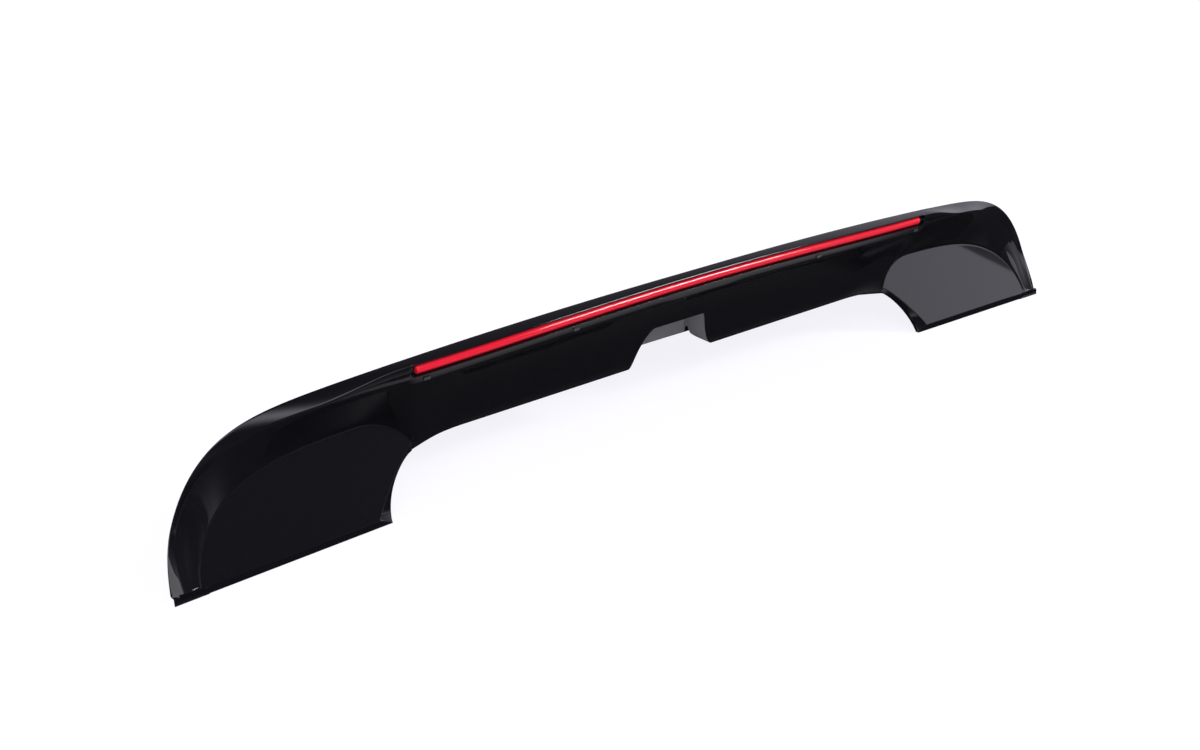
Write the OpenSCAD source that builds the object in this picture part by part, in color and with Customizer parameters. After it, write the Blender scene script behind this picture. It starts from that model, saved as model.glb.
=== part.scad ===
// Rear spoiler for a hatchback: a thin gloss-black moulding with two side fins, a concave
// band between them, a notch at the middle and a red trim strip set into the lip.
// X runs along the spoiler, the finished face looks along -Y and +Z is up. The moulding
// stands on its bonding flanges, which lie on Z = 0.

/* [Overall] */
// Width over the two fin tips
overall_width = 1200; // [1120:10:1300]
// Height of the lip at the middle
lip_height = 166; // [158:1:180]
// How far the roof-side edge lies behind the fins' floor line
skin_depth = 200; // [175:5:225]
// Width of each fin, from the arch to the tip
fin_width = 265; // [250:5:280]

/* [Moulding] */
// Wall thickness
wall = 3; // [2:0.5:4]
// Width of the bonding flange along the edges
flange_width = 12; // [8:1:16]

/* [Lip] */
// Drop of the lip from the middle to the arches
lip_drop = 11; // [5:1:15]
// Height of the lip's crest above its lower ridge
face_height = 13.5; // [13:0.5:16]
// Sweep of the lip towards the car at full width
lip_sweep = 39.5; // [30:0.5:45]
// How far the lip comes forward again as it drops down the fins
lip_return = 31; // [26:1:36]
// Forward overhang of the ridge over the floor line
overhang = 15; // [12:1:18]
// Sweep of the ridge towards the car at full width
ridge_sweep = 96; // [90:1:102]
// How far the ridge comes forward again as it drops down the fins
ridge_return = 84; // [78:1:90]
// Pull of the crest towards the foot rim at the fin tips
tip_pull = 9; // [4:1:12]
// Rounding of the nose over the lip face
nose_round = 0.8; // [0.4:0.1:1.4]
// Crown of the top skin between the lip and the roof-side edge
skin_crown = 8; // [2:1:10]

/* [Strip] */
// How far the slot for the trim strip runs past each arch
slot_overrun = 22; // [10:1:30]
// Height of the slot
slot_height = 13.5; // [12:0.5:14]
// Depth of the slot
slot_depth = 6; // [4:0.5:7]
// Gap between each end of the strip and its slot
strip_end_gap = 7.5; // [4:0.5:14]
// Gap under the strip
strip_gap = 2; // [1:0.1:2.5]
// Gap over the strip
strip_top_gap = 0.5; // [0.4:0.1:1]
// Bond line behind the strip
bond_gap = 0.3; // [0.2:0.1:0.4]
// Thickness of the strip
strip_thickness = 3.5; // [2:0.5:5]
// Crown of the strip's face
strip_crown = 1.2; // [0.5:0.1:1.5]
// How far the outer studs stand inside the strip's ends
stud_margin = 10; // [6:1:30]
// Length of a stud's flat head
stud_length = 7; // [5:0.5:9]
// Width of a stud's head
stud_width = 3; // [2:0.5:4]
// Height of a stud's head
stud_h = 0.9; // [0.6:0.1:1.4]

/* [Band] */
// Height of the band's lower edge
band_height = 58; // [52:1:64]
// How far the band's lower edge lies behind the floor line
band_setback = 35; // [30:1:40]
// Drop of the band's edge beside the arches
band_drop = 5.5; // [3:0.5:7]
// Height of the plain ledge under the slot
ledge_height = 8; // [6:1:10]

/* [Arches] */
// Width of the arch beside each pad
arch_width = 41; // [34:1:48]
// Width of the arch's bevel at its foot
arch_bevel = 14; // [8:1:18]

/* [Pads] */
// Height of the pads
pad_height = 88.5; // [80:0.5:94]
// Lean of the pads away from upright
pad_lean = 24; // [20:1:28]
// Turn of the pads towards the fin tips
pad_turn = 2; // [0:0.5:3]
// Margin between the pads and the fin tips
pad_margin = 27; // [24:1:32]
// Step around the pads
pad_step = 1.5; // [0.5:0.5:2.5]
// Height of the rim under the pads
rim_height = 7; // [4:1:10]

/* [Notch] */
// Width of the notch at the band's lower edge
notch_width = 116; // [100:2:130]
// Width of the notch at its top
notch_top_width = 72; // [60:2:84]
// Height of the notch
notch_height = 44; // [36:1:48]
// Depth of the pocket behind the notch
pocket_depth = 40; // [30:1:50]

/* [Hidden] */

// Share of the lip's drop that its ridge follows
ridge_follow = 0.78;
// Insets from the fin tips: ridge, skin edge, and the foot from the pad's end
fin_rounding = 12;
skin_inset = 40;
foot_inset = 7;

half_w = overall_width / 2;
arch_x = half_w - fin_width;
arch_foot_x = arch_x + arch_width;
pad_x = half_w - pad_margin;
ridge_x = half_w - fin_rounding;
skin_x = half_w - skin_inset;
foot_x = pad_x - foot_inset;
slot_x = arch_x + slot_overrun;
strip_x = slot_x - strip_end_gap;
stud_x = [(strip_x - stud_margin) / 2, strip_x - stud_margin];
ridge_height = lip_height - face_height;
ridge_drop = lip_drop * ridge_follow;
arch_height = band_height - band_drop;
pad_start = band_height + 2;
notch_x = notch_width / 2;
notch_top_x = notch_top_width / 2;
// Share of the fin's sweep that the arch takes
arch_share = 0.13;
// Share of the fin at which the pad reaches its full height, and the power of that rise
pad_corner = 0.236;
pad_corner_power = 2.4;
// Length over which the band's edge bends towards the arch
arch_run = 40;
// Shift of the band's edge towards the pads, and its run
edge_shift = 6;
edge_run = 60;
// Powers of the arch: along, inner and outer
arch_powers = [1.3, 1.3, 0.6];
// Power of the crease in front of the arch
crease_power = 1.8;
// Depth of the bevel at the foot and its growth halfway up the arch
bevel_depth = [2.5, 2];
// Share of the sweep at which the crest turns to the rim
tip_start = 0.8;
// Width of the wall's return along the arch, at its top and at its foot, and the lengths
// over which the flanges narrow to it, along the band and in the sweep
arch_flange = [6, 4.5];
flange_run = 40;
flange_turn = 0.05;
// Powers of the curves: lip, ridge and pad outline
lip_oval = [6.65, 1.48];
ridge_oval = [4.2, 2.3];
pad_oval = [4.5, 1.75];
plan_power = 4;
lip_power = 1.5;
return_power = 0.68;
ridge_power = 4;
// Power and blend of the scoop, and where along the fin it leaves the band's face
scoop_power = 1.15;
scoop_blend = 12;
scoop_end = [45, 85];
// Widest part of the light strip under the ridge of a fin, and its share of the scoop
ridge_band = [8, 0.35];
// Height of the lip face over the fins and the length over which it gets there
fin_face = [4, 90];
// Loss of the skin's crown at the fin tips
crown_loss = 0.9;
// Half width of the sudden steps at the slot's ends
edge = 0.2;
// Rise of the band's flange, which keeps water off it
flange_rise = 0.4;
// Height of the slot's back as a share of its mouth: its ceiling slopes, under a solid lip
slot_back = 0.92;
// Share of the lip face that lies under its upper edge
face_share = 0.72;

// Vector helpers
function clamp(t) = min(max(t, 0), 1);
function smooth(t) = let (s = clamp(t)) s * s * (3 - 2 * s);
function mix(a, b, t) = a + (b - a) * t;
function unit(v) = v / max(norm(v), 1e-6);
function oval(x, e) = pow(max(1 - pow(clamp(x), e[0]), 0), 1 / e[1]);
function sorted(v) = len(v) < 2 ? v :
    let (p = v[floor(len(v) / 2)])
    concat(sorted([for (a = v) if (a < p) a]), [p], sorted([for (a = v) if (a > p) a]));

// A station u is a distance along the lip. Over a fin it turns into a sweep w from 0 at
// the arch to 1 at the floor, and every line of the fin is spaced by the sine of w.
function sweep(u) = u > arch_x ? asin(clamp((u - arch_x) / fin_width)) / 90 : 0;
function along(u, x_end) = u > arch_x ? mix(arch_x, x_end, sin(90 * sweep(u))) : u;

// Crest of the lip and ridge under the lip face. Over a fin both bend down to the foot rim.
function bent(u, z, x, x_end, e) =
    u > arch_x ? mix(rim_height, z, oval((x - arch_x) / (x_end - arch_x), e)) : z;
function lip(u) = let (
        x = along(u, half_w),
        z = bent(u, lip_height - lip_drop * pow(x / arch_x, 2), x, half_w, lip_oval))
    [x, lip_sweep * pow(x / half_w, lip_power)
        - lip_return * pow(clamp(1 - z / lip_height), return_power)
        - tip_pull * smooth((sweep(u) - tip_start) / (1 - tip_start)), z];
function ridge(u) = let (
        x = along(u, ridge_x),
        z = bent(u, ridge_height - ridge_drop * pow(x / arch_x, 2), x, ridge_x, ridge_oval))
    [x, -overhang + ridge_sweep * pow(x / half_w, ridge_power) - ridge_return * (1 - z / ridge_height), z];

// Pads: a leaning plane with a rounded outline
function pad_y(x, z) = tan(pad_lean) * z - tan(pad_turn) * (x - arch_foot_x);
function on_pad(x, z) = [x, pad_y(x, z), z];
function pad_line(w) = let (
        s = sin(90 * w),
        rise = pad_height - pad_start,
        crown = pad_start + rise * (1 - pow(1 - clamp(s / pad_corner), pad_corner_power)),
        z = mix(rim_height, crown, oval(s, pad_oval)))
    on_pad(mix(arch_x, pad_x, s), z);

// Band: lower edge and concave face
function band_edge_z(u) = band_height - band_drop * pow(clamp((u - arch_x + arch_run) / arch_run), 2);
function band_edge_y(u) = band_setback - edge_shift * smooth((u - arch_x + edge_run) / edge_run);
function band_y(u, z) = let (
        r = ridge(min(u, arch_x)),
        top = r[2] - ledge_height,
        v = clamp((top - z) / (top - band_edge_z(u))))
    mix(r[1] + ledge_height * 0.3, band_edge_y(u), 1 - pow(1 - v, 2));
function on_band(u, z) = [min(u, arch_x), band_y(min(u, arch_x), z), z];
function notch_rise(u) = let (t = clamp((notch_x + 2 - u) / (notch_x - notch_top_x + 4)))
    notch_height * (t + smooth(t)) / 2;

// Lower border: the band's edge, the arch and the pad's foot
function border(u) = let (w = sweep(u), a = 90 * clamp(w / arch_share)) w <= 0 ?
    on_band(u, band_edge_z(u) + notch_rise(u)) : let (
        t = pow(sin(a), arch_powers[0]),
        x = w < arch_share ? arch_x + arch_width * t
            : mix(arch_foot_x, foot_x, (w - arch_share) / (1 - arch_share)),
        z = w < arch_share ? arch_height * pow(1 - pow(t, arch_powers[1]), arch_powers[2]) : 0)
    [x, pad_y(x, z) + bevel_depth[0] + bevel_depth[1] * sin(2 * a), z];
function rim(u) = let (
        w = sweep(u),
        a = 90 * clamp(w / arch_share),
        x = w < arch_share ? arch_x + (arch_width + arch_bevel) * pow(sin(a), crease_power)
            : mix(arch_foot_x + arch_bevel, foot_x + 3, (w - arch_share) / (1 - arch_share)),
        z = rim_height + (w < arch_share ? (arch_height - rim_height) * pow(cos(a), crease_power) : 0))
    on_pad(x, z);

// Scoop between the pad outline, or the band's edge, and the ledge
function scoop(u, top, base, v) = let (
        q = mix(top, base, v),
        band = band_y(min(q[0], arch_x), q[2]),
        fin = mix(top[1], base[1], 1 - pow(1 - v, scoop_power)),
        deep = (band + fin + sqrt(pow(band - fin, 2) + scoop_blend * v * (1 - v))) / 2,
        near = smooth((arch_x + scoop_end[1] - q[0]) / (scoop_end[1] - scoop_end[0])))
    [q[0], u > arch_x ? mix(fin, deep, near) : band, q[2]];

// One section of the outer face, from the hidden end of the lower flange over the front,
// the lip and the top skin to the end of the roof-side flange
SCOOP_ROWS = 7;
SKIN_ROWS = 5;
LEDGE = 8 + SCOOP_ROWS - 1;
CREST = LEDGE + 7;
function front_section(u) = let (
        w = sweep(u),
        fin = u > arch_x,
        c = lip(u),
        r = ridge(u),
        e = border(u),
        f = rim(u),
        fan = [sin(90 * w), 0, cos(90 * w)],
        in_pocket = clamp((notch_x + 2 - u) / 4),
        lift = fin ? 0 : flange_rise,
        thin = mix(arch_flange[0], arch_flange[1], clamp(w / arch_share)),
        full = max(1 - smooth((u - arch_x + flange_run) / flange_run),
            smooth((w - arch_share) / flange_turn)),
        reach = mix(thin, flange_width, full),
        flange_end = [e[0], e[1] + mix(reach, pocket_depth + 1, in_pocket),
            min(e[2] + lift * 1.2, band_height + 2)],
        flange_mid = e + [0, mix(reach * 0.75, pocket_depth, in_pocket), lift],
        row_gap = 1.2 + 2 * in_pocket,
        line = pad_line(w),
        step = line + fan * 1.2 - [0, pad_step, 0],
        base = fin ? step : on_band(u, e[2] + 5 * row_gap),
        below = r + [0, ledge_height * 0.3, -ledge_height],
        close = mix(r, base, min(ridge_band[0] / norm(base - r), ridge_band[1])),
        top = mix(close, below, 1 - smooth((r[0] - arch_x - 10) / 25)),
        span = norm(c - r),
        face = min(mix(slot_height, fin_face[0], smooth((r[0] - slot_x) / fin_face[1])), face_share * span),
        up = r + fan * face,
        front = [0, -1, 0],
        across = (up - r) / 3,
        sunk = u < slot_x ? slot_depth : 0,
        nose = unit(front * ((c - up) * fan) - fan * ((c - up) * front))
            * nose_round * clamp(span / 20),
        back = let (x = fin ? mix(arch_x, skin_x, sin(90 * w)) : u)
            [x, skin_depth * (1 - pow(x / half_w, plan_power)), 0],
        slope = skin_depth * plan_power / half_w * pow(back[0] / half_w, plan_power - 1),
        chord = unit(back - c),
        crown = unit(fan - chord * (fan * chord)),
        first = 0.06 + 0.29 * w * w)
    concat(
        [flange_end, flange_mid, e],
        fin ? [mix(e, f, 0.75) - [0, 0.4, 0], f, mix(f, line, 0.5), line, step]
            : [for (k = [1:5]) on_band(u, e[2] + k * row_gap)],
        [for (k = [1:SCOOP_ROWS - 1]) scoop(u, top, base, 1 - k / SCOOP_ROWS)],
        [top, r, r + across * (sunk > 0 ? 0 : 1) - front * sunk,
            r + across * (sunk > 0 ? 3 * slot_back : 2) - front * sunk, up],
        [mix(up, c, 0.16) + nose * 0.7, mix(up, c, 0.5) + nose, c],
        [for (k = [0:SKIN_ROWS - 1]) let (t = mix(first, 1, k / SKIN_ROWS))
            mix(c, back, t) + crown * (4 * skin_crown * (1 - crown_loss * w * w) * t * (1 - t))],
        [back, back - unit([slope, 1, 0]) * flange_width]);

// Past the end of the sweep the front steps back to the foot rim, one millimetre of u later,
// and drops to the floor with the next
function section(u) = let (
        s = front_section(min(u, half_w)),
        past = max(u - half_w, 0),
        drop = clamp(past - 1))
    past == 0 ? s : [for (j = [0:len(s) - 1])
        let (p = s[j], x = p[0] + (p[2] < 0.01 ? 0.4 * past : 0))
        j > 3 && j <= CREST ? on_pad(x, p[2] * (1 - drop)) + [0, bevel_depth[0] * drop, 0]
            : [x, p[1], p[2] * (1 - past / 2)]];

// Stations of one half, closer together where the outline turns
half_stations = sorted(concat(
    [0, notch_top_x * 0.45, notch_x + 2, notch_x + 5],
    [for (k = [0:6]) mix(notch_top_x - 3, notch_x - 2, k / 6)],
    [for (k = [1:11]) mix(notch_x + 5, arch_x - 0.1, 1 - pow(1 - k / 11, 1.5))],
    [strip_x, slot_x - edge, slot_x + edge],
    [for (w = [0.02, 0.035, 0.075, 0.1, 0.13, 0.165, 0.2]) arch_x + fin_width * sin(90 * w)],
    [for (w = [0.25:0.05:0.851]) arch_x + fin_width * sin(90 * w)],
    [for (w = [0.89, 0.93, 0.96, 0.98]) arch_x + fin_width * sin(90 * w)],
    [half_w, half_w + 1, half_w + 2]));
half = [for (u = half_stations) section(u)];
last = len(half) - 1;
outer = concat(
    [for (i = [last:-1:1]) [for (p = half[i]) [-p[0], p[1], p[2]]]],
    half);
rows = len(half[0]);
stations = len(outer);

// The same face without slot, bevel and pad step, which gives the direction of the wall
plain = [for (s = outer) [for (j = [0:rows - 1])
    j == LEDGE + 2 || j == LEDGE + 3 ? mix(s[LEDGE + 1], s[LEDGE + 4], (j - LEDGE - 1) / 3)
        : j == 3 || j == 4 ? mix(s[2], s[5], (j - 2) / 3)
        : j == 7 && abs(s[CREST][0]) > arch_x ? s[j] + [0, pad_step, 0]
        : s[j]]];
function run(i, j) = plain[min(i + 1, stations - 1)][j] - plain[max(i - 1, 0)][j];
function facing(i, j) = unit(cross(run(i, j) + run(i, j + 1), plain[i][j + 1] - plain[i][j]));
function wall_way(i, j) = j == 0 ? facing(i, 0) : j == rows - 1 ? facing(i, rows - 2) :
    let (a = facing(i, j - 1), b = facing(i, j), m = unit(a + b)) m / max(m * b, 0.6);
function inward(i, j) = let (
        p = plain[i][j],
        n = wall_way(i, j),
        grounded = p[2] < 0.01,
        on_flange = j < 6 || j > rows - 3,
        q = grounded && !on_flange ? p - unit([n[0], n[1], 0]) * wall : p - n * wall)
    [q[0], q[1], grounded && on_flange ? wall : max(q[2], 0)];
// Behind the bevel the wall runs straight. Behind the lip face the moulding is solid.
function inner_row(i) = let (
        low = inward(i, 2),
        pad = inward(i, 5),
        over = plain[i][5][2] < 0.01 ? pad : [pad[0], pad[1], max(pad[2], low[2])],
        ledge = inward(i, LEDGE),
        skin = inward(i, CREST + 1))
    [for (j = [0:rows - 1])
        j > 2 && j < 6 ? mix(low, over, (j - 2) / 3)
            : j > LEDGE && j <= CREST ? mix(ledge, skin, (j - LEDGE) / (CREST + 1 - LEDGE))
            : inward(i, j)];

// A closed solid from rings of points, one ring for each station
module loft(rings) {
    n = len(rings);
    m = len(rings[0]);
    sides = [for (i = [0:n - 2], j = [0:m - 1]) let (k = (j + 1) % m)
        each [[i * m + j, i * m + k, (i + 1) * m + j], [(i + 1) * m + j, i * m + k, (i + 1) * m + k]]];
    half_m = m / 2;
    function cap(first, flip) = [for (j = [0:half_m - 2])
        let (a = first + j, b = a + 1, c = first + m - 2 - j, d = c + 1)
        each (flip ? [[a, b, c], [a, c, d]] : [[c, b, a], [d, c, a]])];
    polyhedron([for (r = rings) each r], concat(sides, cap(0, false), cap((n - 1) * m, true)));
}

// Moves a piece from the floor line of the fins to the middle of the spoiler's depth
module placed() {
    translate([0, (overhang - skin_depth) / 2, 0]) children();
}

module spoiler_shell() {
    color([0.03, 0.03, 0.035])
    placed()
    loft([for (i = [0:stations - 1])
        let (inside = inner_row(i))
        concat(outer[i], [for (j = [rows - 1:-1:0]) inside[j]])]);
}

// The strip follows the back of the slot, one bond line in front of it
last_strip = len([for (u = half_stations) if (u < strip_x + edge) u]) - 1;
function strip_ring(s) = let (
        low = s[LEDGE + 2],
        high = s[LEDGE + 3],
        way = unit(high - low),
        out = [0, -1, 0],
        a = low + way * strip_gap + out * bond_gap,
        b = high - way * strip_top_gap + out * bond_gap)
    concat([a], [for (t = [0, 0.25, 0.5, 0.75, 1])
        mix(a, b, t) + out * (strip_thickness + strip_crown * 4 * t * (1 - t))], [b, mix(a, b, 0.5)]);

module trim_strip() {
    color([0.8, 0.05, 0.08])
    placed()
    loft([for (i = [0:stations - 1])
        if (abs(i - last) <= last_strip) strip_ring(outer[i])]);
}

// Studs on the ledge under the strip
function ledge_point(u) = let (s = section(u)) mix(s[LEDGE], s[LEDGE + 1], 0.55);
function ledge_normal(u) = let (s = section(u), d = s[LEDGE + 1] - s[LEDGE]) unit([0, -d[2], d[1]]);

module strip_studs() {
    color([0.75, 0.76, 0.78])
    placed()
    for (side = [-1, 1], x = stud_x) {
        p = ledge_point(x);
        n = ledge_normal(x);
        translate([side * p[0], p[1], p[2]] + n * bond_gap)
        rotate([acos(n[2]), 0, 0])
        linear_extrude(stud_h)
        offset(stud_width / 4, $fn = 24)
        square([stud_length - stud_width / 2, stud_width / 2], center = true);
    }
}

spoiler_shell();
trim_strip();
strip_studs();
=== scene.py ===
import bpy
import math
import numpy as np
from mathutils import Matrix, Quaternion, Vector


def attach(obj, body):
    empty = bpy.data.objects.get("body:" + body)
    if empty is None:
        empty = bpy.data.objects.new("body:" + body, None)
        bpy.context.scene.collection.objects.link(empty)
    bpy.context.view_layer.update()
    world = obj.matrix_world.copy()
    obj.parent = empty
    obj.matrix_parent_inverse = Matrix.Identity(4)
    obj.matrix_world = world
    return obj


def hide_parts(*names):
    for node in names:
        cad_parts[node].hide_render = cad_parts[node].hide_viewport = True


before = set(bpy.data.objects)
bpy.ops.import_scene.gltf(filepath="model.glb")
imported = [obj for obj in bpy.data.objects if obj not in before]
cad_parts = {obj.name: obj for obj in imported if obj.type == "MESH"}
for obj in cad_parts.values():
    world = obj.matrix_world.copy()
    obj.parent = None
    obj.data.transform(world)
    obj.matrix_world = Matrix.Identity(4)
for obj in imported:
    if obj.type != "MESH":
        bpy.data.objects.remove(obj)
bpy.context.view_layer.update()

millimetre = 0.001
floorLineY = -92.5   # the fins' floor line in the frame, mm
onFloor = 0.01       # points lower than this stand on the floor, mm


# Small helpers on arrays. A line is an (n, 3) array in mm, one point per station.
def clip01(t):
    return np.clip(t, 0.0, 1.0)


def smoothStep(t):
    t = clip01(t)
    return t * t * (3.0 - 2.0 * t)


def quarterSine(t):
    return np.sin(math.pi / 2 * t)


def points(x, y, z):
    return np.stack(np.broadcast_arrays(x, y, z), -1).astype(float)


def mix(a, b, t):
    t = np.asarray(t, float)
    if np.ndim(a) > np.ndim(t):
        t = t[..., None]
    return a + (b - a) * t


def unit(v):
    return v / np.maximum(np.linalg.norm(v, axis=-1, keepdims=True), 1e-9)


def dot(a, b):
    return (a * b).sum(-1, keepdims=True)


def length(v):
    return np.linalg.norm(v, axis=-1)


# The moulding, mm, with the construction's names for its sizes
shell = dict(
    # overall, how far inside the tips the lower lines end, the crest and the ridge under its face
    halfWidth=600.0, lipHeight=166.0, skinDepth=200.0, finWidth=265.0, wall=3.0, flange=12.0,
    ridgeInset=12.0, padInset=27.0, footInset=34.0, skinInset=40.0,
    lipDrop=11.0, faceHeight=13.5, lipSweep=39.5, lipBend=1.5, lipReturn=31.0, returnPower=0.68,
    tipPull=9.0, tipStart=0.8, tipSpread=0.4, closeRun=2.0,
    overhang=15.0, ridgeSweep=96.0, ridgeBend=4.0, ridgeReturn=84.0, ridgeFollow=0.78,
    # lip face, slot and top skin
    noseRound=0.8, noseSpan=20.0, finFace=2.0, faceFade=90.0, faceShare=0.72,
    slotOverrun=22.0, slotHeight=13.5, slotDepth=6.0, slotBevel=5.0, slotPinch=0.42,
    slotLow=0.03, slotHigh=0.90, slotBack=0.92,
    crown=8.0, crownFade=0.9, planPower=4.0, firstSkin=(0.06, 0.29), skinSpread=1.15,
    # band, ledge and scoop
    bandHeight=58.0, bandSetback=35.0, bandDrop=5.5, dropRun=40.0, edgePull=6.0, pullRun=60.0,
    bandRows=(2, 4, 5), rowGap=1.2, notchRowGap=2.0,
    ledge=8.0, ledgeLean=0.3, ledgeShare=0.35, ledgeFade=(10.0, 25.0),
    scoopPower=1.15, scoopSoft=12.0, scoopReach=85.0, scoopFade=40.0,
    # arch, pad and foot rim
    archWidth=41.0, archBevel=14.0, archShare=0.13, archPower=1.3, archOval=(1.3, 0.6),
    archFlange=(6.0, 4.5), archIn=2.0, footIn=2.5, creaseLift=8.0, rim=7.0, rimPower=1.8,
    rimReach=3.0, padLift=6.5, padHeight=88.5, padRise=(0.236, 2.4), padStep=1.5, stepRise=1.2,
    padLean=math.tan(math.radians(24)), padTurn=math.tan(math.radians(2)),
    # notch with its pocket, and the lower flange
    notchHalf=58.0, notchTopHalf=36.0, notchRise=44.0, notchEase=2.0,
    pocket=30.0, pocketSkew=1.0, pocketFoot=72.0, pocketRound=1.5, pocketMargin=3.0,
    flangeLift=0.4, flangeRise=1.2, flangeCap=2.0, flangeMiddle=0.75, flangeFade=0.05,
    # powers of the ovals, rows of each stretch, and the least cosine of a mitre
    lipOval=(6.65, 1.48), ridgeOval=(4.2, 2.3), padOval=(4.5, 1.75),
    scoopRows=26, skinRows=18, plainScoop=12, plainSkin=9, mitreLimit=0.6)
archX = shell["halfWidth"] - shell["finWidth"]
archFoot = archX + shell["archWidth"]
padX = shell["halfWidth"] - shell["padInset"]
ridgeX = shell["halfWidth"] - shell["ridgeInset"]
skinX = shell["halfWidth"] - shell["skinInset"]
footX = shell["halfWidth"] - shell["footInset"]
slotX = archX + shell["slotOverrun"]
ridgeHeight = shell["lipHeight"] - shell["faceHeight"]
archHeight = shell["bandHeight"] - shell["bandDrop"]
padStart = shell["bandHeight"] + shell["padLift"]
front = np.array([0.0, -1.0, 0.0])

# Corner radii of the outer face, mm. A pair holds the one between the fins and the one on them,
# and above the ledge the change between them starts finStart past the slot and takes finRun.
rounds = dict(
    flange=0.3, border=1.3, rim=(0.5, 1.4), pad=(0.5, 1.6), step=(0.4, 0.8), ledge=4.0,
    ridge=(0.6, 3.0), slotEdge=0.25, slotBottom=0.4, face=(2.5, 1.5), crest=(4.0, 8.0), back=0.8,
    finStart=4.0, finRun=30.0)

# Numbers of two rows of the section: the border, and the plain row half way up the rim
borderRow, halfRow = 2, 5


# Oval: (1 - x^n)^(1/m), which falls from 1 to 0 as x runs from 0 to 1
def oval(x, powers):
    return np.maximum(1.0 - clip01(x) ** powers[0], 0.0) ** (1.0 / powers[1])


# Sweep over a fin: arcsine of the distance past the arch, 0 at the arch and 1 at the floor
def sweep(u):
    past = clip01((u - archX) / shell["finWidth"])
    return np.where(u > archX, np.arcsin(past) / (math.pi / 2), 0.0)


def along(u, xEnd):
    return np.where(u > archX, mix(archX, xEnd, quarterSine(sweep(u))), u)


# 0 on the band, rising to 1 at the arch over a run before it
def nearArch(u, run):
    return clip01((u - archX + run) / run)


# Crest of the lip: height falls with x squared, and over the fin as an oval down to the foot rim
def bent(u, z, x, xEnd, powers):
    return np.where(u > archX, mix(shell["rim"], z, oval((x - archX) / (xEnd - archX), powers)), z)


def lipLine(u):
    half = shell["halfWidth"]
    x = along(u, half)
    z = bent(u, shell["lipHeight"] - shell["lipDrop"] * (x / archX) ** 2, x, half, shell["lipOval"])
    y = (shell["lipSweep"] * (x / half) ** shell["lipBend"]
         - shell["lipReturn"] * clip01(1 - z / shell["lipHeight"]) ** shell["returnPower"])
    pull = smoothStep((sweep(u) - shell["tipStart"]) / (1 - shell["tipStart"]))
    return points(x, y - shell["tipPull"] * pull, z)


# Ridge under the lip face, made the same way with its own oval
def ridgeLine(u):
    x = along(u, ridgeX)
    fall = shell["lipDrop"] * shell["ridgeFollow"] * (x / archX) ** 2
    z = bent(u, ridgeHeight - fall, x, ridgeX, shell["ridgeOval"])
    y = (shell["ridgeSweep"] * (x / shell["halfWidth"]) ** shell["ridgeBend"]
         - shell["ridgeReturn"] * (1 - z / ridgeHeight))
    return points(x, y - shell["overhang"], z)


# Pad: the leaning plane y = lean z - turn (x - arch foot)
def padY(x, z):
    return shell["padLean"] * z - shell["padTurn"] * (x - archFoot)


# Its upper edge: the top rises over the first share of the fin, and an oval takes it to the rim
def padLine(w):
    s = quarterSine(w)
    share, power = shell["padRise"]
    top = padStart + (shell["padHeight"] - padStart) * (1 - (1 - clip01(s / share)) ** power)
    z = mix(shell["rim"], top, oval(s, shell["padOval"]))
    x = mix(archX, padX, s)
    return points(x, padY(x, z), z)


# Band: from under the ledge the face falls back as a parabola to its lower edge
def bandEdge(u):
    return (shell["bandSetback"] - shell["edgePull"] * smoothStep(nearArch(u, shell["pullRun"])),
            shell["bandHeight"] - shell["bandDrop"] * nearArch(u, shell["dropRun"]) ** 2)


def bandY(u, z):
    ridge = ridgeLine(np.minimum(u, archX))
    top = ridge[..., 2] - shell["ledge"]
    edgeY, edgeZ = bandEdge(u)
    v = clip01((top - z) / (top - edgeZ))
    return mix(ridge[..., 1] + shell["ledge"] * shell["ledgeLean"], edgeY, 1 - (1 - v) ** 2)


def onBand(u, z):
    u = np.minimum(u, archX)
    return points(u, bandY(u, z), z)


# Notch: the border's rise, a smooth step from its lower to its upper half width
def notchLift(u):
    run = shell["notchHalf"] - shell["notchTopHalf"] + 2 * shell["notchEase"]
    return shell["notchRise"] * smoothStep((shell["notchHalf"] + shell["notchEase"] - u) / run)


# A station's place on the fin's border: the angle round the arch, whether it lies on the arch, and
# the share of the straight foot behind it
def archPlace(u):
    w = sweep(u)
    rest = clip01((w - shell["archShare"]) / (1 - shell["archShare"]))
    return math.pi / 2 * clip01(w / shell["archShare"]), w < shell["archShare"], rest


# Lower border: band edge with the notch, then the arch with t = sin(angle)^power and
# z = height (1 - t^n)^m, then the pad's foot
def borderLine(u):
    a, arch, rest = archPlace(u)
    t = np.sin(a) ** shell["archPower"]
    n, m = shell["archOval"]
    x = np.where(arch, archX + shell["archWidth"] * t, mix(archFoot, footX, rest))
    z = np.where(arch, archHeight * np.maximum(1 - t ** n, 0.0) ** m, 0.0)
    fin = points(x, padY(x, z) + shell["footIn"] + shell["archIn"] * np.sin(2 * a), z)
    return np.where((sweep(u) <= 0)[..., None], onBand(u, bandEdge(u)[1] + notchLift(u)), fin)


# Crease round the arch and the foot rim's upper edge, both in the pad's plane
def rimLine(u):
    a, arch, rest = archPlace(u)
    power = shell["rimPower"]
    x = np.where(arch, archX + (shell["archWidth"] + shell["archBevel"]) * np.sin(a) ** power,
                 mix(archFoot + shell["archBevel"], footX + shell["rimReach"], rest))
    rise = archHeight + shell["creaseLift"] - shell["rim"]
    z = shell["rim"] + np.where(arch, rise * np.abs(np.cos(a)) ** power, 0.0)
    return points(x, padY(x, z), z)


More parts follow.
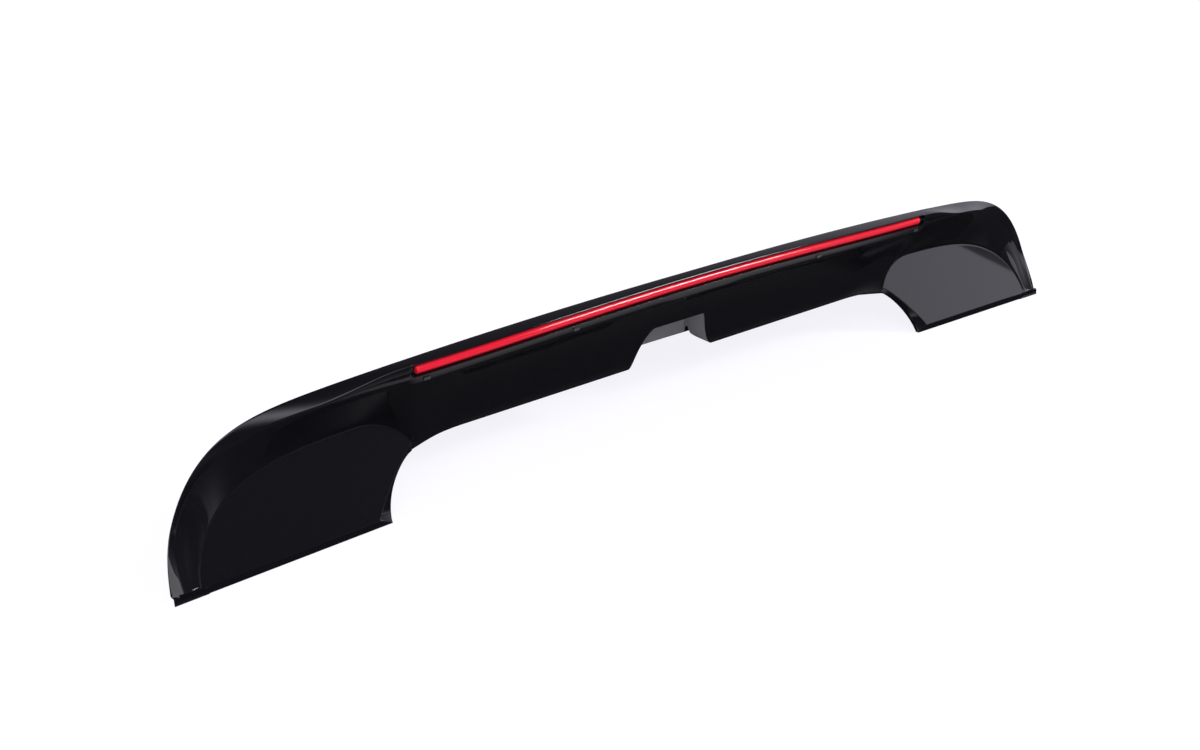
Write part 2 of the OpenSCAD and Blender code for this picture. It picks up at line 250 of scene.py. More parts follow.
# Scoop between ledge and pad: the straight row, pushed back to the deeper of band and fin
def scoopRow(u, top, base, v):
    q = mix(top, base, v + 0 * u)
    x, z = q[..., 0], q[..., 2]
    band = bandY(np.minimum(x, archX), z)
    fin = mix(top[..., 1], base[..., 1], 1 - (1 - v) ** shell["scoopPower"])
    deep = (band + fin + np.sqrt((band - fin) ** 2 + shell["scoopSoft"] * v * (1 - v))) / 2
    near = smoothStep((archX + shell["scoopReach"] - x) / shell["scoopFade"])
    return points(x, np.where(u > archX, mix(fin, deep, near), band), z)


# Row of the top skin at a share t of its depth, raised by the crown
def skinRow(f, t):
    return mix(f["crest"], f["back"], t) + f["crown"] * (t * (1 - t))[:, None]


# Lower flange behind the border. Inside the notch it runs back as the pocket's walls.
def addFlange(f, u):
    w, fin, e = f["w"], f["fin"], f["border"]
    into = clip01((shell["notchHalf"] + shell["notchEase"] - u) / (2 * shell["notchEase"]))
    lift = np.where(fin, 0, shell["flangeLift"])
    thin = mix(*shell["archFlange"], np.where(fin, clip01(w / shell["archShare"]), 0.0))
    full = np.maximum(1 - smoothStep(nearArch(u, shell["dropRun"])),
                      smoothStep((w - shell["archShare"]) / shell["flangeFade"]))
    reach = mix(thin, shell["flange"], full)
    endY = e[:, 1] + mix(reach, shell["pocket"] + shell["pocketSkew"], into)
    lifted = np.minimum(e[:, 2] + lift * shell["flangeRise"],
                        shell["bandHeight"] + shell["flangeCap"])
    f["flangeEnd"] = points(e[:, 0], endY, mix(lifted, shell["pocketFoot"], into))
    back = mix(reach * shell["flangeMiddle"], shell["pocket"], into)
    f["flangeMid"] = e + points(0 * u, back, lift)
    f["pocketRound"] = into * shell["pocketRound"]
    f["rowGap"] = shell["rowGap"] + shell["notchRowGap"] * into


# Step over the pad, the ledge under the ridge, the lip face and the bulge of the nose
def addFace(f, u):
    fin, fan, ridge, crest = f["fin"], f["fan"], f["ridge"], f["crest"]
    f["step"] = f["pad"] + fan * shell["stepRise"] + front * shell["padStep"]
    lowBand = onBand(u, f["border"][:, 2] + shell["bandRows"][-1] * f["rowGap"])
    f["base"] = np.where(fin[:, None], f["step"], lowBand)
    below = ridge + np.array([0, shell["ledge"] * shell["ledgeLean"], -shell["ledge"]])
    drop = np.maximum(length(f["base"] - ridge), 1e-6)
    close = mix(ridge, f["base"], np.minimum(shell["ledge"] / drop, shell["ledgeShare"]))
    start, run = shell["ledgeFade"]
    f["top"] = mix(close, below, 1 - smoothStep((ridge[:, 0] - archX - start) / run))
    span = length(crest - ridge)
    taper = smoothStep((ridge[:, 0] - slotX) / shell["faceFade"])
    face = np.minimum(mix(shell["slotHeight"], shell["finFace"], taper), shell["faceShare"] * span)
    f["upper"] = ridge + fan * face[:, None]
    across = crest - f["upper"]
    bulge = shell["noseRound"] * clip01(span / shell["noseSpan"])
    f["nose"] = unit(front * dot(across, fan) - fan * dot(across, front)) * bulge[:, None]


# Roof-side edge with its flange, and the crown of the top skin
def addSkin(f, u):
    w, fan = f["w"], f["fan"]
    half, power = shell["halfWidth"], shell["planPower"]
    xBack = np.where(f["fin"], mix(archX, skinX, quarterSine(w)), u)
    f["back"] = points(xBack, shell["skinDepth"] * (1 - (xBack / half) ** power), 0)
    slope = shell["skinDepth"] * power / half * (xBack / half) ** (power - 1)
    f["backEnd"] = f["back"] - unit(points(slope, 1, 0)) * shell["flange"]
    chord = unit(f["back"] - f["crest"])
    high = 4 * shell["crown"] * (1 - shell["crownFade"] * w * w)
    f["crown"] = unit(fan - chord * dot(fan, chord)) * high[:, None]
    f["firstSkin"] = shell["firstSkin"][0] + shell["firstSkin"][1] * w * w


# All feature lines of the section at each station. The fan is the section's upward direction.
def featureLines(u):
    w = sweep(u)
    f = dict(w=w, fin=u > archX, crest=lipLine(u), ridge=ridgeLine(u), border=borderLine(u),
             rim=rimLine(u), pad=padLine(w))
    f["fan"] = points(quarterSine(w), 0, np.cos(math.pi / 2 * w))
    addFlange(f, u)
    addFace(f, u)
    addSkin(f, u)
    return f


# A path of feature rows with rounded corners. Each corner is a quadratic curve whose cut length is
# its radius, shared with the neighbouring corners where a stretch is too short for both.
def roundedRows(path, steps=4, leastRadius=0.02, stretchShare=0.96):
    spots = np.stack([p for p, r in path], 0)
    radii = np.stack([np.broadcast_to(r, spots.shape[1:2]).astype(float) for p, r in path], 0)
    gaps = length(spots[1:] - spots[:-1])
    rows = [spots[0]]
    owners = [0]
    for j in range(1, len(path) - 1):
        if radii[j].max() <= 0:
            rows.append(spots[j])
            owners.append(j)
            continue
        r = np.maximum(radii[j], leastRadius)
        before = gaps[j - 1] * r / (r + radii[j - 1])
        after = gaps[j] * r / (r + radii[j + 1])
        cut = np.minimum(r, stretchShare * np.minimum(before, after))
        toPrev = unit(spots[j - 1] - spots[j]) * cut[:, None]
        toNext = unit(spots[j + 1] - spots[j]) * cut[:, None]
        for k in range(steps + 1):
            t = k / steps
            rows.append(spots[j] + toPrev * (1 - t) ** 2 + toNext * t ** 2)
            owners.append(j)
    rows.append(spots[-1])
    return np.stack(rows, 1), np.array(owners + [len(path) - 1])


# Past the end of the sweep the front rows step back to the foot rim's plane, then drop to the floor
def closeTip(u, rows, isFront):
    past = np.maximum(u - shell["halfWidth"], 0)[:, None]
    x, y, z = rows[..., 0], rows[..., 1], rows[..., 2]
    x = x + np.where(z < onFloor, shell["tipSpread"] * past, 0)
    lowered = np.where(isFront, z * (1 - clip01(past - 1)), z * (1 - past / shell["closeRun"]))
    footY = padY(x, lowered) + shell["footIn"] * clip01(past - 1)
    y = np.where(isFront & (past > 0), mix(y, footY, clip01(past)), y)
    return np.stack([x, y, lowered], -1)


# Outer face, from the end of the lower flange over the front, the lip and the skin to the rear
# flange, as rows with the path's number of each
def outerRows(u):
    f = featureLines(u)
    isFin, e, ridge, upper, crest = f["fin"], f["border"], f["ridge"], f["upper"], f["crest"]
    band = [onBand(u, e[:, 2] + k * f["rowGap"]) for k in shell["bandRows"]]
    rim, pad, step = (np.where(isFin[:, None], f[name], row)
                      for name, row in zip(("rim", "pad", "step"), band))
    finRound = smoothStep((u - slotX - rounds["finStart"]) / rounds["finRun"])
    onFin = {name: np.where(isFin, rounds[name][1], rounds[name][0])
             for name in ("rim", "pad", "step")}
    path = [(f["flangeEnd"], 0), (f["flangeMid"], np.maximum(f["pocketRound"], rounds["flange"])),
            (e, rounds["border"]), (rim, onFin["rim"])]
    path += [(mix(rim, pad, share), 0) for share in (0.03, 0.35, 0.7, 0.97)]
    path += [(pad, onFin["pad"]), (step, onFin["step"])]
    n = shell["scoopRows"]
    path += [(scoopRow(u, f["top"], f["base"], 1 - k / n), 0) for k in range(1, n)]
    path += [(f["top"], rounds["ledge"]), (ridge, mix(*rounds["ridge"], finRound))]
    # the slot's outline closes over its last millimetres, and its depth ends with it
    nearEnd = clip01((u - slotX + shell["slotBevel"]) / shell["slotBevel"])
    pinch = shell["slotPinch"] * nearEnd ** 2
    depth = np.where(u < slotX, shell["slotDepth"], 0.0)[:, None] * -front
    low = mix(ridge, upper, shell["slotLow"] + pinch)
    high = mix(ridge, upper, shell["slotHigh"] - pinch)
    under = mix(ridge, upper, shell["slotBack"] - pinch)
    path += [(low, rounds["slotEdge"]), (low + depth, rounds["slotBottom"]),
             (under + depth, rounds["slotBottom"]), (high, rounds["slotEdge"]),
             (upper, mix(*rounds["face"], finRound))]
    # the nose is a quadratic curve from the face to the crest
    middle = mix(upper, crest, 0.5 + 0 * u) + 2 * f["nose"]
    for t in (0.12, 0.25, 0.4, 0.55, 0.7, 0.85):
        path.append((upper * (1 - t) ** 2 + middle * 2 * t * (1 - t) + crest * t * t, 0))
    path.append((crest, mix(*rounds["crest"], finRound)))
    lastFront = len(path) - 1
    n = shell["skinRows"]
    for k in range(n):
        path.append((skinRow(f, mix(f["firstSkin"] * 0.5, 1, (k / n) ** shell["skinSpread"])), 0))
    path += [(f["back"], rounds["back"]), (f["backEnd"], 0)]
    rows, owners = roundedRows(path)
    return closeTip(u, rows, (owners > borderRow) & (owners <= lastFront)), owners


# Plain rows of the wall: the outer face without slot, bevel and pad step
def plainRows(u):
    f = featureLines(u)
    fin, e, gap = f["fin"][:, None], f["border"], f["rowGap"]
    half = np.where(fin, mix(f["rim"], f["pad"], 0.5 + 0 * u), onBand(u, e[:, 2] + 3 * gap))
    pad = np.where(fin, f["pad"], onBand(u, e[:, 2] + 4 * gap))
    corner = np.where(fin, f["pad"] + f["fan"] * shell["stepRise"], f["base"])
    rows = [f["flangeEnd"], f["flangeMid"], e, mix(e, half, 1 / 3 + 0 * u),
            mix(e, half, 2 / 3 + 0 * u), half, pad, corner]
    n = shell["plainScoop"]
    rows += [scoopRow(u, f["top"], f["base"], 1 - k / n) for k in range(1, n)]
    rows.append(f["top"])
    ledgeRow = len(rows) - 1
    n = shell["plainSkin"]
    rows += [skinRow(f, mix(f["firstSkin"], 1, k / n)) for k in range(n)]
    rows += [f["back"], f["backEnd"]]
    number = np.arange(len(rows))
    return closeTip(u, np.stack(rows, 1), (number > borderRow + 1) & (number <= ledgeRow))


# Inner face: every plain row moved inwards by the wall along the mitre of its neighbours' normals
def innerRows(plain):
    n, m = plain.shape[:2]
    run = np.empty_like(plain)
    run[1:-1] = plain[2:] - plain[:-2]
    run[0] = plain[1] - plain[0]
    run[-1] = plain[-1] - plain[-2]
    facing = unit(np.cross(run[:, :-1] + run[:, 1:], plain[:, 1:] - plain[:, :-1]))
    way = np.empty_like(plain)
    way[:, 0] = facing[:, 0]
    way[:, -1] = facing[:, -1]
    middle = unit(facing[:, :-1] + facing[:, 1:])
    way[:, 1:-1] = middle / np.maximum(dot(middle, facing[:, 1:]), shell["mitreLimit"])
    inner = plain - way * shell["wall"]
    # on the floor the wall keeps its thickness over the flanges, and elsewhere moves level
    grounded = plain[..., 2] < onFloor
    onFlange = np.zeros(m, bool)
    onFlange[:halfRow + 1] = True
    onFlange[m - 2:] = True
    flat = plain - unit(way * np.array([1, 1, 0])) * shell["wall"]
    inner = np.where((grounded & ~onFlange)[..., None], flat, inner)
    inner[..., 2] = np.where(grounded & onFlange, shell["wall"], np.maximum(inner[..., 2], 0))
    # the half row lies no lower than the border, and the rows between them on a straight line
    raised = np.maximum(inner[:, halfRow, 2], inner[:, borderRow, 2])
    inner[:, halfRow, 2] = np.where(grounded[:, halfRow], inner[:, halfRow, 2], raised)
    for k in range(borderRow + 1, halfRow):
        share = (k - borderRow) / (halfRow - borderRow)
        inner[:, k] = mix(inner[:, borderRow], inner[:, halfRow], share + np.zeros(n))
    return inner


# Stations of one half, close together at the notch, the slot's end, the arch and the tip
def halfStations():
    def even(a, b, n, closed=False):
        return np.linspace(a, b, n, endpoint=closed)

    def onFin(a, b, n):
        return archX + shell["finWidth"] * quarterSine(even(a, b, n))

    return np.unique(np.concatenate([
        even(0, 30, 7), even(30, 64, 46), even(64, 290, 30), even(290, archX - 0.02, 16, True),
        onFin(0.004, 0.0405, 12), even(slotX - 6, slotX - 0.1, 11, True),
        even(slotX + 0.1, slotX + 1.2, 3, True), onFin(0.059, 0.20, 34), onFin(0.20, 0.90, 56),
        onFin(0.90, 1.0, 16), shell["halfWidth"] + np.array([0, 0.35, 1, 1.12, 1.5, 2])]))


def mirrored(half):
    other = half[1:][::-1] * np.array([-1.0, 1.0, 1.0])
    return np.concatenate([other, half])


def toFrame(p):
    return (p + np.array([0, floorLineY, 0])) * millimetre


# Puts a grid of closed rings into a mesh: quads between rings, and the given end faces
def meshFromRings(name, rings, caps):
    n, m = rings.shape[:2]
    i, j = np.meshgrid(np.arange(n - 1), np.arange(m), indexing="ij")
    k = (j + 1) % m
    quads = np.stack([i * m + j, i * m + k, (i + 1) * m + k, (i + 1) * m + j], -1).reshape(-1, 4)
    mesh = bpy.data.meshes.new(name)
    mesh.from_pydata(toFrame(rings.reshape(-1, 3)).tolist(), [], quads.tolist() + caps)
    mesh.validate()
    mesh.update()
    mesh.shade_smooth()
    obj = bpy.data.objects.new(name, mesh)
    bpy.context.scene.collection.objects.link(obj)
    return obj


def makeShell():
    u = halfStations()
    half, owners = outerRows(u)
    outer = mirrored(half)
    inner = innerRows(mirrored(plainRows(u)))
    rings = np.concatenate([outer, inner[:, ::-1]], 1)
    n, m = rings.shape[:2]
    nOut, nIn = outer.shape[1], inner.shape[1]
    # end faces: one polygon for each inner step, with the outer points nearest to it
    caps = []
    for ring, flip in ((0, True), (n - 1, False)):
        start = ring * m
        marks = [0]
        for j in range(1, nIn - 1):
            away = length(outer[ring] - inner[ring, j])
            marks.append(max(marks[-1], int(np.argmin(away))))
        marks.append(nOut - 1)
        for j in range(nIn - 1):
            face = [start + k for k in range(marks[j], marks[j + 1] + 1)]
            face += [start + m - 1 - (j + 1), start + m - 1 - j]
            caps.append(face if flip else face[::-1])
    obj = meshFromRings("spoilerShell", rings, caps)
    # the notch's pocket walls get a paler satin grey, a painted reflection of the pale floor their
    # gloss mirrors: 1 on its walls, 0 from the rounded border outwards
    pocketReflectionMask = np.zeros((n, m))
    corner = np.flatnonzero(owners == borderRow)
    pocketReflectionMask[:, :corner[1]] = 1.0
    pocketReflectionMask[:, -(halfRow + 1):] = 1.0
    pocketReflectionMask *= np.abs(rings[..., 0]) < shell["notchHalf"] + shell["pocketMargin"]
    pocketReflectionMask *= rings[..., 2] > onFloor
    skin = obj.data.attributes.new("pocketPaintedReflection", "FLOAT", "POINT")
    skin.data.foreach_set("value", pocketReflectionMask.ravel())
    print("shell:", len(obj.data.polygons), "faces,", n, "stations,", m, "rows")
    return obj


shellPiece = makeShell()


# Red strip in the slot, mm: a crowned bar with rounded front edges and rounded ends
strip = dict(
    endGap=7.5, gap=1.0, topGap=2.2, bond=0.3, thickness=1.5, crown=3.2, edgeRound=0.7,
    backRound=0.3, endRound=2.0, endTall=0.05, endThick=0.35, faceReach=0.84, faceRows=13,
    stations=70, endStations=9)


def makeStrip():
    stripX = slotX - strip["endGap"]
    turned = np.linspace(0, math.pi / 2, strip["endStations"])
    bend = stripX - strip["endRound"] * (1 - np.cos(turned))
    straight = np.linspace(0, stripX - strip["endRound"], strip["stations"], endpoint=False)
    u = np.unique(np.concatenate([straight, bend]))
    f = featureLines(u)
    back = -front * shell["slotDepth"]
    low = f["ridge"] + back
    high = mix(f["ridge"], f["upper"], shell["slotBack"] + 0 * u) + back
    up = unit(high - low)
    # height and thickness close as a quarter circle over the end's round
    reach = clip01((u - stripX + strip["endRound"]) / strip["endRound"])
    close = np.maximum(np.sqrt(1 - reach ** 2), strip["endTall"])[:, None]
    middle = (low + high) / 2 + front * strip["bond"] + up * (strip["gap"] - strip["topGap"]) / 2
    tall = up * ((length(high - low)[:, None] - strip["gap"] - strip["topGap"]) / 2 * close)
    thick = strip["thickness"] * (strip["endThick"] + (1 - strip["endThick"]) * close)
    path = [(middle, 0), (middle - tall, strip["backRound"]),
            (middle - tall + front * thick, strip["edgeRound"])]
    for v in np.linspace(-strip["faceReach"], strip["faceReach"], strip["faceRows"]):
        forward = thick + strip["crown"] * close * (1 - v * v)
        path.append((middle + tall * v + front * forward, 0))
    path += [(middle + tall + front * thick, strip["edgeRound"]),
             (middle + tall, strip["backRound"]), (middle, 0)]
    rings = mirrored(roundedRows(path)[0][:, :-1])
    n, m = rings.shape[:2]
    caps = [list(range(m))[::-1], [(n - 1) * m + k for k in range(m)]]
    obj = meshFromRings("redStrip", rings, caps)
    print("strip:", len(obj.data.polygons), "faces")
    return obj


stripPiece = makeStrip()

# Plastics: colour, roughness with its slight haze, specular level, and the moulded skin's grain as
# its scale over a metre and its height in metres
finish = dict(
    black=dict(colour=(0.0042, 0.0042, 0.0056), rough=0.015, haze=0.015, sheen=0.5,
               peelScale=900.0, peelHeight=0.000001),
    red=dict(colour=(0.66, 0.012, 0.03), rough=0.07, haze=0.05, sheen=0.28,
             peelScale=900.0, peelHeight=0.000001),
    stud=dict(colour=(0.03, 0.03, 0.034), rough=0.22, haze=0.1, sheen=0.5,
              peelScale=1500.0, peelHeight=0.00003))
plastic = dict(ior=1.5, peelStrength=0.6, hazeScale=14.0, hazeDetail=6.0, peelDetail=1.0)
# Paler satin grey of the pocket's walls, a painted reflection of the pale floor: colour, roughness
# and grain
pocketPaintedReflection = dict(colour=(0.18, 0.178, 0.192), rough=0.5, grainScale=900.0, grainHeight=0.00006,
                  grainStrength=0.3)


# A maths node whose inputs are numbers or other nodes' outputs, by its own output
def mathNode(tree, operation, *inputs):
    node = tree.nodes.new("ShaderNodeMath")
    node.operation = operation
    for k, value in enumerate(inputs):
        if isinstance(value, (int, float)):
            node.inputs[k].default_value = value
        else:
            tree.links.new(value, node.inputs[k])
    return node.outputs["Value"]


# A group that gives a slightly uneven roughness and a moulded skin's height over the coordinates
def mouldedSkin():
    group = bpy.data.node_groups.new("mouldedSkin", "ShaderNodeTree")
    kinds = dict(Vector="NodeSocketVector", Roughness="NodeSocketFloat", Haze="NodeSocketFloat",
                 Scale="NodeSocketFloat")
    for name, kind in kinds.items():
        group.interface.new_socket(name=name, in_out="INPUT", socket_type=kind)
    for name in ("Roughness", "Height"):
        group.interface.new_socket(name=name, in_out="OUTPUT", socket_type="NodeSocketFloat")
    nodes, links = group.nodes, group.links
    source, out = nodes.new("NodeGroupInput"), nodes.new("NodeGroupOutput")
    haze = nodes.new("ShaderNodeTexNoise")
    haze.inputs["Scale"].default_value = plastic["hazeScale"]
    haze.inputs["Detail"].default_value = plastic["hazeDetail"]
    links.new(source.outputs["Vector"], haze.inputs["Vector"])
    spread = mathNode(group, "MULTIPLY_ADD", haze.outputs["Fac"], source.outputs["Haze"],
                      source.outputs["Roughness"])
    links.new(spread, out.inputs["Roughness"])
    peel = nodes.new("ShaderNodeTexNoise")
    peel.inputs["Detail"].default_value = plastic["peelDetail"]
    links.new(source.outputs["Vector"], peel.inputs["Vector"])
    links.new(source.outputs["Scale"], peel.inputs["Scale"])
    links.new(peel.outputs["Fac"], out.inputs["Height"])
    return group


skinGroup = mouldedSkin()


def plasticMaterial(name, colour, rough, haze, sheen, peelScale, peelHeight):
    material = bpy.data.materials.new(name)
    material.use_nodes = True
    nodes, links = material.node_tree.nodes, material.node_tree.links
    shader = nodes["Principled BSDF"]
    shader.inputs["Base Color"].default_value = (*colour, 1)
    shader.inputs["IOR"].default_value = plastic["ior"]
    shader.inputs["Specular IOR Level"].default_value = sheen
    place = nodes.new("ShaderNodeTexCoord")
    skin = nodes.new("ShaderNodeGroup")
    skin.node_tree = skinGroup
    for socket, value in (("Roughness", rough), ("Haze", haze), ("Scale", peelScale)):
        skin.inputs[socket].default_value = value
    links.new(place.outputs["Object"], skin.inputs["Vector"])
    links.new(skin.outputs["Roughness"], shader.inputs["Roughness"])
    bump = nodes.new("ShaderNodeBump")
    bump.inputs["Distance"].default_value = peelHeight
    bump.inputs["Strength"].default_value = plastic["peelStrength"]
    links.new(skin.outputs["Height"], bump.inputs["Height"])
    links.new(bump.outputs["Normal"], shader.inputs["Normal"])
    return material


# Painted reflection in the pocket: a paler satin grey over the gloss that stands in for the pale
# floor its walls mirror, from the piece's own attribute
def addPocketPaintedReflection(material):
    nodes, links = material.node_tree.nodes, material.node_tree.links
    gloss = nodes["Principled BSDF"]
    skin = nodes.new("ShaderNodeAttribute")
    skin.attribute_name = "pocketPaintedReflection"
    grain = nodes.new("ShaderNodeTexNoise")
    grain.inputs["Scale"].default_value = pocketPaintedReflection["grainScale"]
    links.new(nodes["Texture Coordinate"].outputs["Object"], grain.inputs["Vector"])
    bump = nodes.new("ShaderNodeBump")
    bump.inputs["Strength"].default_value = pocketPaintedReflection["grainStrength"]
    bump.inputs["Distance"].default_value = pocketPaintedReflection["grainHeight"]
    links.new(grain.outputs["Fac"], bump.inputs["Height"])
    paintedReflectionSatin = nodes.new("ShaderNodeBsdfPrincipled")
    paintedReflectionSatin.inputs["Base Color"].default_value = (*pocketPaintedReflection["colour"], 1)
    paintedReflectionSatin.inputs["Roughness"].default_value = pocketPaintedReflection["rough"]
    links.new(bump.outputs["Normal"], paintedReflectionSatin.inputs["Normal"])
    blend = nodes.new("ShaderNodeMixShader")
    links.new(skin.outputs["Fac"], blend.inputs["Fac"])
    links.new(gloss.outputs["BSDF"], blend.inputs[1])
    links.new(paintedReflectionSatin.outputs["BSDF"], blend.inputs[2])
    links.new(blend.outputs["Shader"], nodes["Material Output"].inputs["Surface"])


blackGloss = plasticMaterial("blackGloss", **finish["black"])
# the pocket's walls get the painted reflection of the pale floor
addPocketPaintedReflection(blackGloss)
redGloss = plasticMaterial("redGloss", **finish["red"])
paleStud = plasticMaterial("paleStud", **finish["stud"])
shellPiece.data.materials.append(blackGloss)
stripPiece.data.materials.append(redGloss)
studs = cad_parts["strip_studs"]
studs.data.materials.clear()
studs.data.materials.append(paleStud)

for piece, node, slot in ((shellPiece, "spoiler_shell", "black_gloss"),
                          (stripPiece, "trim_strip", "red_strip")):
    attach(piece, "root")
    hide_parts(node)
print("materials and slots done")

# Studio: a floor that is white to the camera and keeps the shadow, and a surround that is pale
# behind the piece and dark in front of it, so the gloss reads black. Sizes in metres.
studio = dict(
    floorHeight=-0.0005, floorSize=6.0, floorColour=0.16, floorBounce=0.7, floorInGloss=0.03,
    floorGlow=0.88, floorTint=(0.99, 0.98, 1.04),
    # the floor's glow in the gloss: levels along Y, and where it fades along X
    glossStops=((0.0, 0.02), (0.45, 0.03), (0.66, 0.5), (0.76, 0.85), (0.87, 0.0)),
    glossShift=1.0, glossMiddle=0.08, glossSide=(0.6, 0.27),
    # the surround: its least glow, and pale lobes as direction, strength and power of the cosine
    darkGlow=0.03, pale=(((0.995, -0.035, 0.09), 1.45, 6.0), ((-0.09, -0.7, 0.71), 2.4, 18.0),
                         ((-0.87, 0.0, 0.5), 2.2, 5.0)),
    lampDistance=9.0, tint=(0.97, 0.95, 1.08))
floorMesh = bpy.data.meshes.new("floor")
far, low = studio["floorSize"] / 2, studio["floorHeight"]
floorMesh.from_pydata([(-far, -far, low), (far, -far, low), (far, far, low), (-far, far, low)],
                      [], [(0, 1, 2, 3)])
floor = bpy.data.objects.new("floor", floorMesh)
bpy.context.scene.collection.objects.link(floor)
floorMaterial = bpy.data.materials.new("floorWhite")
floorMaterial.use_nodes = True
tree = floorMaterial.node_tree
nodes, links = tree.nodes, tree.links
nodes.clear()
out = nodes.new("ShaderNodeOutputMaterial")
diffuse = nodes.new("ShaderNodeBsdfDiffuse")
glow = nodes.new("ShaderNodeEmission")
glow.inputs["Color"].default_value = (*studio["floorTint"], 1)
rays = nodes.new("ShaderNodeLightPath").outputs
# gloss mirrors a pale stretch of floor some way in front of the piece, by the floor's own X and Y
place = nodes.new("ShaderNodeTexCoord")
apart = nodes.new("ShaderNodeSeparateXYZ")
links.new(place.outputs["Object"], apart.inputs["Vector"])
stretch = nodes.new("ShaderNodeValToRGB")
stretch.color_ramp.interpolation = "EASE"
while len(stretch.color_ramp.elements) < len(studio["glossStops"]):
    stretch.color_ramp.elements.new(0.5)
for element, (position, level) in zip(stretch.color_ramp.elements, studio["glossStops"]):
    element.position = position
    element.color = (level, level, level, 1)
links.new(mathNode(tree, "ADD", apart.outputs["Y"], studio["glossShift"]), stretch.inputs["Fac"])
side = nodes.new("ShaderNodeMapRange")
side.interpolation_type = "SMOOTHSTEP"
side.inputs["From Min"].default_value, side.inputs["From Max"].default_value = studio["glossSide"]
offset = mathNode(tree, "SUBTRACT", apart.outputs["X"], studio["glossMiddle"])
links.new(mathNode(tree, "ABSOLUTE", offset), side.inputs["Value"])
pool = mathNode(tree, "MULTIPLY", stretch.outputs["Color"], side.outputs["Result"])
inGloss = mathNode(tree, "MULTIPLY", pool, rays["Is Glossy Ray"])
glowAmount = mathNode(tree, "MULTIPLY_ADD", rays["Is Camera Ray"], studio["floorGlow"], inGloss)
links.new(glowAmount, glow.inputs["Strength"])
# its tone: as written for the camera, pale for bounced light, and dark in gloss
bounce = studio["floorBounce"]
gloss, written = studio["floorInGloss"] - bounce, studio["floorColour"] - bounce
tone = mathNode(tree, "MULTIPLY_ADD", rays["Is Glossy Ray"], gloss, bounce)
floorTone = mathNode(tree, "MULTIPLY_ADD", rays["Is Camera Ray"], written, tone)
links.new(floorTone, diffuse.inputs["Color"])
add = nodes.new("ShaderNodeAddShader")
links.new(diffuse.outputs["BSDF"], add.inputs[0])
links.new(glow.outputs["Emission"], add.inputs[1])
links.new(add.outputs["Shader"], out.inputs["Surface"])
floorMesh.materials.append(floorMaterial)

# Surround: white to the camera, else the least glow with each lobe added to it
world = bpy.data.worlds.new("studioWorld")
bpy.context.scene.world = world
world.use_nodes = True
tree = world.node_tree
nodes, links = tree.nodes, tree.links
background = nodes["Background"]
place = nodes.new("ShaderNodeTexCoord")
level = studio["darkGlow"]
for way, paleGlow, paleFall in studio["pale"]:
    aim = nodes.new("ShaderNodeVectorMath")
    aim.operation = "DOT_PRODUCT"
    aim.inputs[1].default_value = way
    links.new(place.outputs["Generated"], aim.inputs[0])
    fall = mathNode(tree, "POWER", mathNode(tree, "MAXIMUM", aim.outputs["Value"], 0.0), paleFall)
    level = mathNode(tree, "MULTIPLY_ADD", fall, paleGlow, level)
seen = nodes.new("ShaderNodeLightPath").outputs["Is Camera Ray"]
strength = nodes.new("ShaderNodeMix")
strength.data_type = "FLOAT"
links.new(seen, strength.inputs["Factor"])
links.new(level, strength.inputs["A"])
strength.inputs["B"].default_value = 1.0
links.new(strength.outputs["Result"], background.inputs["Strength"])
tone = nodes.new("ShaderNodeMix")
tone.data_type = "RGBA"
links.new(seen, tone.inputs["Factor"])
tone.inputs["A"].default_value = (*studio["tint"], 1)
tone.inputs["B"].default_value = (1, 1, 1, 1)
links.new(tone.outputs["Result"], background.inputs["Color"])


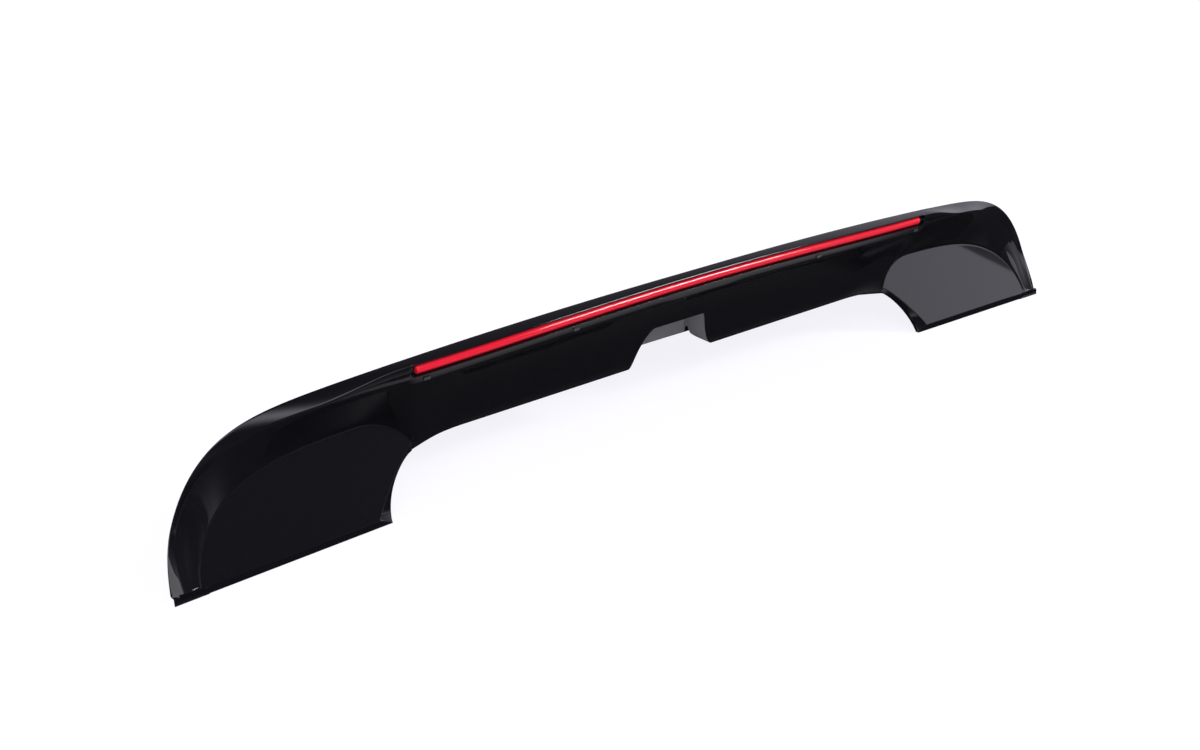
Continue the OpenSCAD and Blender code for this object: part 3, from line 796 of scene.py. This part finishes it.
# A soft box seen from a point of the X axis at an azimuth from -Y towards +X and an elevation, so
# many degrees wide and high, and rolled about its axis. Power = pi * area * radiance.
def softBox(name, seenFrom, azimuth, elevation, wide, high, radiance, roll=0.0, colour=(1, 1, 1)):
    away = studio["lampDistance"]
    width, height = (2 * away * math.tan(math.radians(v / 2)) for v in (wide, high))
    data = bpy.data.lights.new(name, "AREA")
    data.shape = "RECTANGLE"
    data.size, data.size_y = width, height
    data.energy = math.pi * width * height * radiance
    data.color = colour
    lamp = bpy.data.objects.new(name, data)
    az, el = math.radians(azimuth), math.radians(elevation)
    way = Vector((math.sin(az) * math.cos(el), -math.cos(az) * math.cos(el), math.sin(el)))
    lamp.location = way * away + Vector((seenFrom, 0, 0))
    facing = (-way).to_track_quat("-Z", "Y")
    lamp.rotation_euler = (facing @ Quaternion((0, 0, 1), math.radians(roll))).to_euler()
    bpy.context.scene.collection.objects.link(lamp)


softBox("key", seenFrom=-0.1, azimuth=46, elevation=31, wide=14, high=9, radiance=48.0)
softBox("rightFront", seenFrom=0.47, azimuth=43.0, elevation=9.5, wide=12.6, high=9.7,
        radiance=1.2, roll=32, colour=studio["tint"])
softBox("leftFront", seenFrom=-0.5, azimuth=-38, elevation=27, wide=45, high=45, radiance=2.0)
softBox("rear", seenFrom=0.0, azimuth=-150, elevation=28, wide=20, high=20, radiance=8.0)
print("floor, surround and lamps done")

# Camera at the photo's angle: azimuth and elevation, its distance, and the aim's offsets
cameraSet = dict(azimuth=40.0, elevation=22.9, right=0.098, up=-0.044, away=1.705, lens=48.0,
                 sensor=36.0)
azimuth, elevation = math.radians(cameraSet["azimuth"]), math.radians(cameraSet["elevation"])
flat, rise = math.cos(elevation), math.sin(elevation)
rightWay = Vector((math.cos(azimuth), -math.sin(azimuth), 0))
upWay = Vector((rise * math.sin(azimuth), rise * math.cos(azimuth), flat))
lookWay = Vector((flat * math.sin(azimuth), flat * math.cos(azimuth), -rise))
spot = -(rightWay * cameraSet["right"] + upWay * cameraSet["up"] + lookWay * cameraSet["away"])
spot.y += floorLineY * millimetre
cameraData = bpy.data.cameras.new("camera")
cameraData.lens = cameraSet["lens"]
cameraData.sensor_width = cameraSet["sensor"]
camera = bpy.data.objects.new("camera", cameraData)
bpy.context.scene.collection.objects.link(camera)
turn = Matrix((rightWay, upWay, -lookWay)).transposed().to_4x4()
camera.matrix_world = Matrix.Translation(spot) @ turn
bpy.context.scene.camera = camera
bpy.context.scene.view_settings.view_transform = "Standard"
print("camera done")
